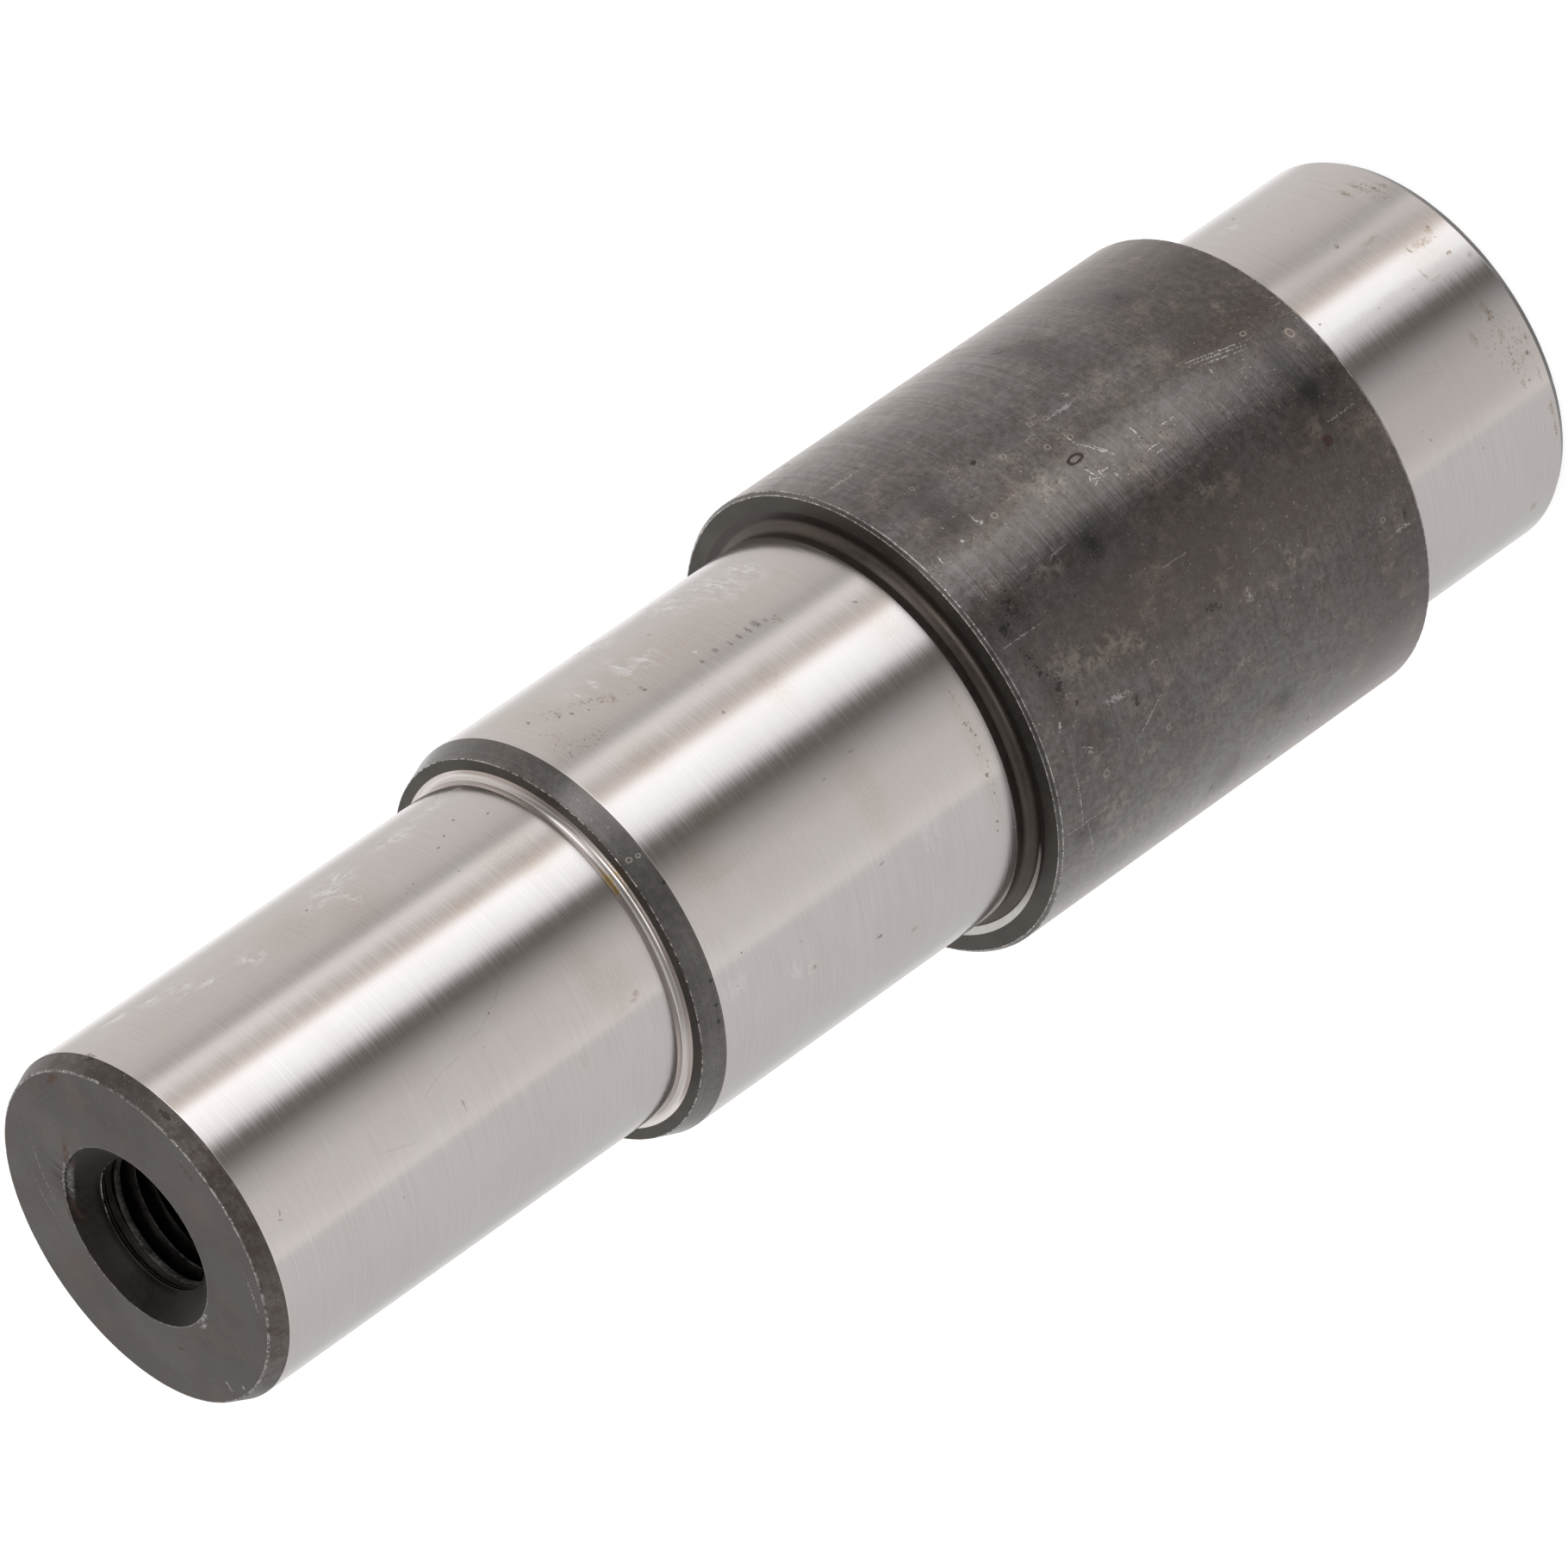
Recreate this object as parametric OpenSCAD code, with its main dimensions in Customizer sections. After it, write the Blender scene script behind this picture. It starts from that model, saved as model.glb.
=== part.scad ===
// Fan drive shaft: a turned and ground steel shaft with two bearing seats either side of a wide collar
// and a slimmer hub seat whose end is tapped on the axis.
// Units mm. The shaft stands on its rear end face: z = 0 there, the axis is Z, the tapped end is at the top.

/* [Hub seat] */
// diameter of the front journal, which carries the fan hub
hub_d = 56; // [40:0.5:60]
// length of the front journal, from the end face to the shoulder of the front bearing seat
hub_l = 79.8; // [50:0.1:120]

/* [Bearing seats] */
// diameter of both bearing seats
seat_d = 65; // [62:0.5:72]
// length of the front bearing seat, between its own shoulder and the collar
front_seat_l = 65.4; // [40:0.1:100]
// length of the rear bearing seat, between the collar and the rear end face
rear_seat_l = 35.6; // [25:0.1:60]

/* [Collar] */
// diameter of the turned collar the bearings stand against
collar_d = 76.4; // [74:0.1:84]
// length of the collar
collar_l = 78.2; // [40:0.1:120]
// width of the broken edge at both ends of the collar
collar_edge = 0.5; // [0.3:0.05:1.5]

/* [Lead chamfers] */
// axial length of the chamfer at the front end
hub_lead_l = 2.9; // [1:0.1:5]
// depth of the chamfer at the front end, off the radius
hub_lead_t = 1.25; // [0.5:0.05:2.5]
// axial length of the chamfer at the front of the front bearing seat
seat_lead_l = 3.6; // [1:0.1:5]
// depth of that chamfer, off the radius
seat_lead_t = 1.35; // [0.5:0.05:2]
// axial length of the chamfer at the rear end
rear_lead_l = 1.2; // [0.5:0.1:4]
// depth of the chamfer at the rear end, off the radius
rear_lead_t = 0.7; // [0.3:0.05:2]

/* [Grinding reliefs] */
// angle of the slope from a journal down into its relief
relief_slope = 15; // [10:1:20]
// arc radius of the relief at the root of the hub seat
hub_relief_r = 1; // [0.6:0.1:2]
// how far it goes under the hub seat's surface
hub_relief_t = 0.25; // [0.1:0.05:0.6]
// how far it goes into the shoulder's face
hub_relief_in = 0.15; // [0.05:0.05:0.4]
// how far its shallow cone runs out across that face
hub_relief_out = 0.55; // [0.3:0.05:1.5]
// arc radius of the reliefs beside the collar
collar_relief_r = 1.7; // [1:0.1:3]
// how far they go under the bearing seat's surface
collar_relief_t = 0.45; // [0.2:0.05:1]
// how far they go into the collar's end faces
collar_relief_in = 0.35; // [0.1:0.05:0.6]
// how far their shallow cones run out across those faces
collar_relief_out = 1.35; // [0.5:0.05:2.5]

/* [Tapped end] */
// tap drill of the thread in the front end: 21 for M24
tap_d = 21; // [17:0.5:24]
// depth of the drilled hole to the end of its full diameter
tap_l = 63; // [40:1:90]
// full angle of the drill point
drill_point = 118; // [110:1:140]
// mouth of the countersink on the end face
sink_d = 29; // [25:0.5:36]
// full angle of the countersink
sink_angle = 100; // [60:1:120]

/* [Rear centre] */
// pilot of the centre drilled in the rear end
centre_d = 6.3; // [4:0.1:10]
// mouth of that centre on the end face
centre_mouth_d = 13.2; // [8:0.1:20]
// full angle of its cone
centre_angle = 60; // [60:1:90]
// depth of the pilot from the end face to the end of its full diameter
centre_l = 12; // [9:0.5:20]

/* [Hidden] */

$fn = 180;

hub_r = hub_d / 2;
seat_r = seat_d / 2;
collar_r = collar_d / 2;
tap_r = tap_d / 2;
centre_r = centre_d / 2;

// heights of the faces, from the rear end up
collar_rear_z = rear_seat_l;
collar_front_z = collar_rear_z + collar_l;
seat_front_z = collar_front_z + front_seat_l;
shaft_l = seat_front_z + hub_l;

// how far a cutter reaches past the face it opens
past = 1;

sink_l = (sink_d - tap_d) / 2 / tan(sink_angle / 2);
sink_grow = past * tan(sink_angle / 2);
point_l = tap_r / tan(drill_point / 2);

centre_cone_l = (centre_mouth_d - centre_d) / 2 / tan(centre_angle / 2);
centre_grow = past * tan(centre_angle / 2);
centre_point_l = centre_r / tan(drill_point / 2);

steel = [0.62, 0.60, 0.58];

// half of the shaft's section, right of the axis, without reliefs
module blank_section() {
    polygon([
        [0, 0],
        [seat_r - rear_lead_t, 0],
        [seat_r, rear_lead_l],
        [seat_r, collar_rear_z],
        [collar_r - collar_edge, collar_rear_z],
        [collar_r, collar_rear_z + collar_edge],
        [collar_r, collar_front_z - collar_edge],
        [collar_r - collar_edge, collar_front_z],
        [seat_r, collar_front_z],
        [seat_r, seat_front_z - seat_lead_l],
        [seat_r - seat_lead_t, seat_front_z],
        [hub_r, seat_front_z],
        [hub_r, shaft_l - hub_lead_l],
        [hub_r - hub_lead_t, shaft_l],
        [0, shaft_l],
    ]);
}

// cutter for the relief where a journal of radius journal_r stands on a face at height 0: a slope down from the
// journal, an arc of radius r that goes t under it and into the face by in, and a cone back out over face_run
module relief_cut(journal_r, r, t, in, face_run) {
    arc_x = journal_r - t + r;
    arc_y = r - in;
    intersection() {
        translate([arc_x, arc_y])
            circle(r);
        translate([arc_x - r, -in])
            square(r);
    }
    polygon([
        [arc_x - r, arc_y],
        [journal_r, arc_y + t / tan(relief_slope)],
        [arc_x + face_run, 0],
        [arc_x, -in],
        [arc_x, arc_y],
    ]);
}

// the relief cutter beside the collar
module collar_relief_cut() {
    relief_cut(seat_r, collar_relief_r, collar_relief_t, collar_relief_in, collar_relief_out);
}

// half of the shaft's section with the reliefs cut
module shaft_section() {
    difference() {
        blank_section();
        translate([0, seat_front_z])
            relief_cut(hub_r, hub_relief_r, hub_relief_t, hub_relief_in, hub_relief_out);
        translate([0, collar_front_z])
            collar_relief_cut();
        translate([0, collar_rear_z])
            mirror([0, 1])
                collar_relief_cut();
    }
}

// drilled hole of the tapped front end with its countersink, from the end face down
module tapped_end_cut() {
    translate([0, 0, -tap_l])
        cylinder(h = tap_l + past, r = tap_r);
    translate([0, 0, -tap_l - point_l])
        cylinder(h = point_l, r1 = 0, r2 = tap_r);
    translate([0, 0, -sink_l])
        cylinder(h = sink_l + past, r1 = tap_r, r2 = sink_d / 2 + sink_grow);
}

// centre drilled in the rear end, from the end face up
module rear_centre_cut() {
    translate([0, 0, -past])
        cylinder(h = centre_l + past, r = centre_r);
    translate([0, 0, centre_l])
        cylinder(h = centre_point_l, r1 = centre_r, r2 = 0);
    translate([0, 0, -past])
        cylinder(h = centre_cone_l + past, r1 = centre_mouth_d / 2 + centre_grow, r2 = centre_r);
}

// the whole shaft, one turned piece
module fan_drive_shaft() {
    color(steel)
        difference() {
            rotate_extrude()
                shaft_section();
            translate([0, 0, shaft_l])
                tapped_end_cut();
            rear_centre_cut();
        }
}

fan_drive_shaft();
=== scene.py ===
"""Fan drive shaft: the dressed model, its light and its camera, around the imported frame.

Profile sizes are in millimetres, as in the part's source, and MM turns them into metres. The shaft stands
on its rear end, its axis is Z and its tapped end is up. Angles round it are in degrees from -Y towards -X.
"""
import math

import bmesh
import bpy
from mathutils import Matrix, Vector, noise


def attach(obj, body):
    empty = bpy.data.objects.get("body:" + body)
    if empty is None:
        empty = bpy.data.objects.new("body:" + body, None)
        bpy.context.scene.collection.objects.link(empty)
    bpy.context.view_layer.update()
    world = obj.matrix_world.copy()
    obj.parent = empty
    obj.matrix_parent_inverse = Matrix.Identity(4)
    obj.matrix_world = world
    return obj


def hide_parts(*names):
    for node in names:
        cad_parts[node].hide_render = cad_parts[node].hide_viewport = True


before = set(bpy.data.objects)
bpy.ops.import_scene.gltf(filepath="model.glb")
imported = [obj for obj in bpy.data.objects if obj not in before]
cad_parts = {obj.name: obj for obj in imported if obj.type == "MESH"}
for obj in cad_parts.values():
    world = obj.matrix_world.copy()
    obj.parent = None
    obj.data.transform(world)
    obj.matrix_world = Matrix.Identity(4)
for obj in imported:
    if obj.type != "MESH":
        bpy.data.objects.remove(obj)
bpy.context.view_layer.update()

MM = 0.001
NODE = "fan_drive_shaft"

# Sizes, as in part.scad. A relief has its arc's radius, its depths into journal and face, and its run-out.
HUB_R, HUB_L = 28.0, 79.8
SEAT_R, FRONT_SEAT_L, REAR_SEAT_L = 32.5, 65.4, 35.6
COLLAR_R, COLLAR_L, COLLAR_EDGE = 38.2, 78.2, 0.5
HUB_LEAD_L, HUB_LEAD_T = 2.9, 1.25
SEAT_LEAD_L, SEAT_LEAD_T = 3.6, 1.35
REAR_LEAD_L, REAR_LEAD_T = 1.2, 0.7
SLOPE = math.tan(math.radians(15))
HUB_RELIEF = dict(r=1.0, t=0.25, into=0.15, out=0.55)
COLLAR_RELIEF = dict(r=1.7, t=0.45, into=0.35, out=1.35)
TAP_R, TAP_L, POINT_TAN = 10.5, 63.0, math.tan(math.radians(59))
SINK_R, SINK_TAN = 14.5, math.tan(math.radians(50))
CENTRE_R, CENTRE_MOUTH_R, CENTRE_L = 3.15, 6.6, 12.0
CENTRE_TAN = math.tan(math.radians(30))

COLLAR_REAR = REAR_SEAT_L
COLLAR_FRONT = COLLAR_REAR + COLLAR_L
SEAT_FRONT = COLLAR_FRONT + FRONT_SEAT_L
TOP = SEAT_FRONT + HUB_L

# The thread, right-hand; its crests lie at CREST + PITCH * (turn + angle / 360) below the top. It starts
# THREAD_START below the top, and is WORN_CUT deep until WORN_TURNS and whole after another FADE of a turn.
PITCH, THREAD_R, THREAD_L, CREST, CREST_W = 3.0, 12.0, 50.0, 1.63, 0.5
FLANK_TAN = math.tan(math.radians(30))
THREAD_START, ENTRY_L, WORN_CUT, WORN_TURNS, FADE = 3.7, 0.4, 0.1, 0.75, 0.3

# Radii of the rounded edges, and how much less than its arc's radius a relief is rounded.
ROUND = dict(rim=0.16, mouth=0.3, hub_edge=0.35, journal=0.25, lead=0.14, collar_face=0.22, collar=0.26,
             end=0.15, centre=0.1, relief_top=0.06, relief_foot=0.5, relief_end=0.12)
ARC_TRIM = 0.07

# Columns round the shaft, degrees in a step of a rounded edge, how far a support ring stands from an edge,
# the shortest strips with support rings and with rings between them, the sharp angle and the weld distances.
SEGMENTS, ROUND_STEP = 288, 13
SUPPORT, SUPPORTED_RUN, LONG_RUN = 0.12, 0.9, 4
SHARP_ANGLE, WELD, COLLAPSED = 28, 2e-7, 1e-8

# Depth of the nicks in worn edges. The countersink's broken lip: the middle and half width of its turn and of
# its radius, and how far it goes below the top, inwards and outwards.
NICK_DEPTH = 0.07
LIP_TURN, LIP_HALF_TURN, LIP_R, LIP_HALF_W = 236, 17, SINK_R - 0.2, 0.9
LIP_DEPTH, LIP_IN, LIP_OUT = 2.2, 3, 1.2

MATERIALS = ["hub", "seat", "rear", "relief", "turned", "hub_lead", "lead", "face", "end", "worn", "dotted",
             "mouth", "rim", "sink", "thread", "hub_edge"]
NICKED = ("worn", "dotted", "mouth", "hub_edge")


def relief_corners(journal_r, face_z, up, r, t, into, out, journal, groove):
    """Corners of a grinding relief, from its journal to its face; up is 1 where the journal is above."""
    arc_x, arc_y = journal_r - t + r, r - into
    corners = [
        (journal_r, arc_y + t / SLOPE, ROUND["relief_top"], groove, journal),
        (arc_x - r, arc_y, ROUND["relief_foot"], groove, groove),
        (arc_x - r, -into, r - ARC_TRIM, groove, groove),
        (arc_x + out, 0, ROUND["relief_end"], "face", groove),
    ]
    return [(radius, face_z + up * y, *rest) for radius, y, *rest in corners]


def outline():
    """Corners of the section: r, z, rounding, and the materials of the next strip and the rounding."""
    corners = [
        (TAP_R, TOP - THREAD_START, 0, "thread", None),
        (TAP_R, TOP - (SINK_R - TAP_R) / SINK_TAN, ROUND["rim"], "sink", "rim"),
        (SINK_R, TOP, ROUND["mouth"], "end", "mouth"),
        (HUB_R - HUB_LEAD_T, TOP, ROUND["hub_edge"], "hub_lead", "hub_edge"),
        (HUB_R, TOP - HUB_LEAD_L, ROUND["journal"], "hub", "hub"),
    ]
    corners += relief_corners(HUB_R, SEAT_FRONT, 1, **HUB_RELIEF, journal="hub", groove="hub")
    corners += [
        (SEAT_R - SEAT_LEAD_T, SEAT_FRONT, ROUND["lead"], "lead", "dotted"),
        (SEAT_R, SEAT_FRONT - SEAT_LEAD_L, ROUND["journal"], "seat", "seat"),
    ]
    corners += relief_corners(SEAT_R, COLLAR_FRONT, 1, **COLLAR_RELIEF, journal="seat", groove="relief")
    corners += [
        (COLLAR_R - COLLAR_EDGE, COLLAR_FRONT, ROUND["collar_face"], "lead", "worn"),
        (COLLAR_R, COLLAR_FRONT - COLLAR_EDGE, ROUND["collar"], "turned", "worn"),
        (COLLAR_R, COLLAR_REAR + COLLAR_EDGE, ROUND["collar"], "lead", "worn"),
        (COLLAR_R - COLLAR_EDGE, COLLAR_REAR, ROUND["collar_face"], "face", "worn"),
    ]
    rear = relief_corners(SEAT_R, COLLAR_REAR, -1, **COLLAR_RELIEF, journal="rear", groove="relief")
    strips = ["relief", "relief", "relief", "rear"]
    corners += [(*corner[:3], strip, corner[4]) for corner, strip in zip(reversed(rear), strips)]
    corners += [
        (SEAT_R, REAR_LEAD_L, ROUND["journal"], "lead", "rear"),
        (SEAT_R - REAR_LEAD_T, 0, ROUND["end"], "end", "worn"),
        (CENTRE_MOUTH_R, 0, ROUND["end"], "sink", "worn"),
        (CENTRE_R, (CENTRE_MOUTH_R - CENTRE_R) / CENTRE_TAN, ROUND["centre"], "sink", "sink"),
        (CENTRE_R, CENTRE_L, 0, "sink", None),
        (0, CENTRE_L + CENTRE_R / POINT_TAN, 0, "sink", None),
    ]
    return corners


def rounded(before, here, after, rounding):
    """Points of the arc that rounds a corner, and where the strip after it starts."""
    back, onward = (before - here).normalized(), (after - here).normalized()
    turn = math.pi - back.angle(onward)
    reach = rounding * math.tan(turn / 2)
    centre = here + (back + onward).normalized() * (rounding / math.cos(turn / 2))
    first, last = here + back * reach - centre, here + onward * reach - centre
    steps = max(2, math.ceil(math.degrees(turn) / ROUND_STEP))
    swing = math.atan2(first.x * last.y - first.y * last.x, first.dot(last))
    points = []
    for k in range(steps + 1):
        a = swing * k / steps
        points.append(centre + Vector((first.x * math.cos(a) - first.y * math.sin(a),
                                       first.x * math.sin(a) + first.y * math.cos(a))))
    return points, here + onward * reach


def cuts_of(run):
    """Where rings lie on a strip of this length: near each end, and three between on a long one."""
    if run <= SUPPORTED_RUN:
        return []
    between = [run * k / 4 for k in (1, 2, 3) if run > LONG_RUN]
    return [SUPPORT] + between + [run - SUPPORT]


def rings_of(corners):
    """Rings (r, z, strip, nicked) of the section, with rounded corners and a support ring beside each."""
    spots, rings = [Vector(corner[:2]) for corner in corners], []
    last = len(corners) - 1
    for i, (_, _, rounding, strip, edge) in enumerate(corners):
        here = start = spots[i]
        if i in (0, last) or not rounding:
            rings.append((*here, strip, False))
        else:
            points, start = rounded(spots[i - 1], here, spots[i + 1], rounding)
            rings += [(*point, edge, edge in NICKED) for point in points[:-1]]
            rings.append((*points[-1], strip, edge in NICKED))
        if i == last:
            break
        run = spots[i + 1] - start
        rounding_next = corners[i + 1][2]
        if rounding_next and i + 1 < last:
            ahead = (spots[i + 2] - spots[i + 1]).normalized()
            turn = math.pi - (-run).normalized().angle(ahead)
            run -= run.normalized() * rounding_next * math.tan(turn / 2)
        rings += [(*(start + run.normalized() * cut), strip, False) for cut in cuts_of(run.length)]
    return rings


def thread_rows():
    """Rows of the thread before it is wound up: their turn, their depth and how deep they are cut."""
    flank = (THREAD_R - TAP_R) * FLANK_TAN
    root = PITCH - CREST_W - 2 * flank
    groove = CREST_W / 2 + flank
    turn = [(-CREST_W / 2, 0), (0, 0), (CREST_W / 2, 0), (groove - flank / 2, 0.5), (groove, 1),
            (groove + root, 1), (groove + root + flank / 2, 0.5)]
    turns = range(-1, math.ceil(THREAD_L / PITCH) + 1)
    return [(k, CREST + PITCH * k + depth, cut) for k in turns for depth, cut in turn], len(turn)


def share(part, whole):
    """How much of the whole the part is, from 0 to 1."""
    return min(1, max(0, part / whole))


def thread_wall(turn, depth, cut, a):
    """Radius and height of the threaded wall, which is wound up by one pitch a turn between flat rings."""
    depth += PITCH * a / (2 * math.pi)
    begun = share(turn + a / (2 * math.pi) - WORN_TURNS, FADE)
    ending = share(THREAD_L - depth, PITCH)
    entry = share(depth - THREAD_START, ENTRY_L)
    cut *= (WORN_CUT + (1 - WORN_CUT) * begun) * ending * entry
    return TAP_R + (THREAD_R - TAP_R) * cut, TOP - min(THREAD_L, max(THREAD_START, depth))


def dented(r, z, a, nicked):
    """Small dents along the worn edges, and the broken lip of the countersink."""
    point = Vector((math.cos(a) * r, math.sin(a) * r, z))
    if nicked:
        rough = noise.noise(point * 0.9) + 0.6 * noise.noise(point * 2.3)
        r -= NICK_DEPTH * max(0, rough - 0.15)
    if z > TOP - LIP_DEPTH and SINK_R - LIP_IN < r < SINK_R + LIP_OUT:
        lip = math.exp(-((math.degrees(a) - LIP_TURN) / LIP_HALF_TURN) ** 4)
        lip *= math.exp(-((r - LIP_R) / LIP_HALF_W) ** 2)
        r += lip * (0.15 + 0.4 * noise.noise(point * 1.7))
        z -= lip * (0.15 + 0.2 * noise.noise(point * 2.6))
    return r, z


def build_shaft():
    """The skin: the section's rings, the threaded wall and the hole's plain end, as one mesh."""
    bm = bmesh.new()
    angles = [2 * math.pi * j / SEGMENTS for j in range(SEGMENTS)]
    rings = rings_of(outline())
    rows, per_turn = thread_rows()
    bottom = [(TAP_R, THREAD_L), (TAP_R, TAP_L), (0, TAP_L + TAP_R / POINT_TAN)]

    def place(r, z, a):
        return bm.verts.new((-math.sin(a) * r * MM, -math.cos(a) * r * MM, z * MM))

    def pairs(columns):
        """Each column with the next one round the shaft."""
        return zip(columns, columns[1:] + columns[:1])

    turned = [[place(*dented(r, z, a, nicked), a) for r, z, _, nicked in rings] for a in angles]
    wound = [[place(*thread_wall(*row, a), a) for row in rows] for a in angles]
    drilled = [[place(r, TOP - depth, a) for r, depth in bottom] for a in angles]

    faces = []
    for this, following in pairs(turned):
        for k in range(len(rings) - 1):
            faces.append(((this[k], following[k], following[k + 1], this[k + 1]), rings[k][2]))
    for j, (this, following) in enumerate(pairs(wound)):
        shift = per_turn if j == SEGMENTS - 1 else 0
        for k in range(len(rows) - 1 - shift):
            faces.append(((this[k], this[k + 1], following[k + 1 + shift], following[k + shift]), "thread"))
    for this, following in pairs(drilled):
        for k in range(len(bottom) - 1):
            faces.append(((this[k], this[k + 1], following[k + 1], following[k]), "thread"))

    for corners, strip in faces:
        face = bm.faces.new(corners)
        face.material_index = MATERIALS.index(strip)
        face.smooth = True
    bmesh.ops.remove_doubles(bm, verts=bm.verts, dist=WELD)
    bmesh.ops.dissolve_degenerate(bm, edges=bm.edges, dist=COLLAPSED)
    bmesh.ops.recalc_face_normals(bm, faces=bm.faces)
    mesh = bpy.data.meshes.new("shaft_skin")
    bm.to_mesh(mesh)
    bm.free()
    mesh.set_sharp_from_angle(angle=math.radians(SHARP_ANGLE))
    return mesh


# Marks that the photograph shows: angle, height, half width round the shaft, half height and, where a mark
# slants, its turn in degrees from round the shaft towards up.
JOURNAL_BROWN = [
    (25.8, 185.8, 0.8, 0.6), (27, 186.6, 0.4, 0.8), (-48, 7.4, 2, 0.5), (-47.5, 5.2, 2, 0.5),
    (-43, 4, 1.5, 0.5), (-42.5, 2.7, 1.4, 0.3), (4, 6, 2, 0.7), (10.5, 6, 1, 0.5), (19, 6.2, 0.4, 0.8),
    (19.5, 4.4, 0.5, 0.6), (18.8, 3.1, 0.6, 0.5), (25.2, 6, 0.9, 0.5), (25.2, 4.6, 0.4, 0.4),
    (15, 2.2, 0.8, 0.5), (36, 2.2, 1.6, 0.5), (42, 2, 2.4, 0.3), (25.5, 2.6, 1.3, 0.25),
    (-11, 2.3, 0.7, 0.6), (-13.5, 11, 1.5, 0.4), (-11, 9.6, 0.3, 1.4), (7.5, 10.6, 1.6, 0.7),
    (-21.5, 9.6, 1.3, 0.25), (-21, 7, 0.9, 2.2), (-23, 4.6, 1, 0.9), (-14.5, 5, 0.5, 0.6),
    (-30, 13, 0.6, 2.2), (66, 6, 1.2, 0.8), (-47.5, 159.5, 1.3, 0.5, 20), (-49, 161, 0.9, 0.4),
    (-44, 155.5, 0.9, 0.4), (-54.5, 166.5, 0.9, 0.5), (-37, 132, 1.2, 0.5), (57.6, 137.6, 0.5, 0.8),
    (46.5, 158, 0.5, 0.9),
]
JOURNAL_SPECKS = [
    (-51.5, 161.8, 0.9, 8.2, 37), (-56, 167.2, 2.6, 1.4), (-48, 160, 2, 1.2), (-40, 168, 2.2, 3.2),
    (-42, 172, 3, 1.4), (-38.5, 132.5, 1.4, 1.2), (-46, 171, 4, 1.2), (20, 119.6, 14, 0.5),
    (33, 197.8, 1.5, 0.5), (14, 6, 7, 4.5), (-44, 4, 5, 2.4),
]
JOURNAL_GRIME = [
    (-40.6, 142.8, 0.6, 0.4), (-40, 140.3, 0.7, 0.25), (-40, 138.4, 0.7, 0.3), (-40, 136.6, 0.8, 0.35),
    (-40.5, 134.9, 1, 0.55), (-40, 145.8, 0.4, 0.3), (-39.6, 133.4, 0.5, 0.3), (31.6, 142.2, 0.2, 0.5),
    (4.6, 145, 0.12, 0.4), (2.6, 138.6, 0.14, 0.6), (23.3, 218.6, 0.95, 0.17),
    (17.6, 252.3, 0.55, 0.14, 25), (19.7, 252.7, 0.13, 0.45, 25), (-60, 255.8, 0.6, 0.3),
    (-12, 14, 0.2, 0.2),
]
JOURNAL_LINES = [
    (1.6, 205.4, 0.12, 1.9, -38), (5.4, 208.6, 0.12, 1.8, -28), (7.9, 211.8, 0.12, 1.4, -4),
    (7, 213.9, 0.5, 0.1, 20), (10.8, 217.4, 0.11, 1.6, -8), (12.8, 221.6, 0.11, 2.8, -20),
    (22.3, 231, 0.1, 4.2, 16), (8, 150, 0.08, 0.6), (8, 21, 0.08, 3, 20),
]
JOURNAL_TAN = [
    (-45, 169.5, 5.5, 5.5), (-62, 168, 6, 6), (-22, 141.5, 5.5, 3), (-32, 189, 3, 6), (-24, 187, 3.5, 4),
    (-27, 165, 4, 5), (14, 191, 7, 3), (-18, 121, 4, 4), (-45, 212, 5, 6), (-55, 220, 6, 6),
    (14, 140, 9, 3.5), (-19, 8, 5, 5), (20, 188, 5, 4), (27, 189, 1.2, 2.4), (33.5, 197.6, 1.6, 0.8),
    (-25, 200, 1.6, 4), (-26, 163, 1.6, 4), (9, 168, 1, 4.5), (-5, 163, 2.4, 3), (-43, 168, 5, 5),
    (20, 120, 16, 1.8), (4, 170, 6, 5), (-52, 163, 2.5, 8, 37), (-50, 150, 7, 26),
]
JOURNAL_PITS = [
    (-58, 215.5, 0.42, 0.35), (5, 208.2, 0.22, 0.22), (12.4, 211.7, 0.18, 0.2), (-50, 192.5, 0.3, 0.28),
    (-47, 195, 0.3, 0.25), (-53.5, 189, 0.34, 0.28), (-47, 185.3, 0.3, 0.25), (-40.5, 202.7, 0.25, 0.25),
    (-39, 204.7, 0.2, 0.2), (-58.6, 255.9, 0.8, 0.35), (-24, 150.5, 0.3, 0.3), (-34, 149.3, 0.2, 0.2),
    (-28.8, 121.5, 0.4, 0.25), (-61.5, 145, 0.4, 0.25), (-51.2, 165.6, 0.4, 0.3), (-53, 167, 0.4, 0.3),
    (-43.3, 155.4, 0.4, 0.25), (-48.5, 163.5, 0.3, 0.25), (-59, 170.2, 0.6, 0.3),
    (51.5, 144.8, 0.3, 0.9, 20), (22, 120.2, 0.25, 0.2), (34, 119.8, 0.2, 0.2), (25, 119.2, 0.2, 0.25),
    (-13, 21, 0.3, 0.3), (-70, 19, 0.5, 0.25), (-34.5, 17.6, 0.5, 0.4), (23.2, 25.5, 0.3, 0.25),
    (29.3, 169.8, 0.2, 0.2), (-18.7, 30.5, 0.25, 0.25), (-46.5, 46, 0.2, 0.2), (17.5, 119.4, 0.3, 0.3),
    (13.5, 120, 0.4, 0.25), (28, 120, 0.3, 0.4), (42, 120.3, 0.3, 0.25), (44.5, 120.6, 0.25, 0.25),
]
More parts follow.
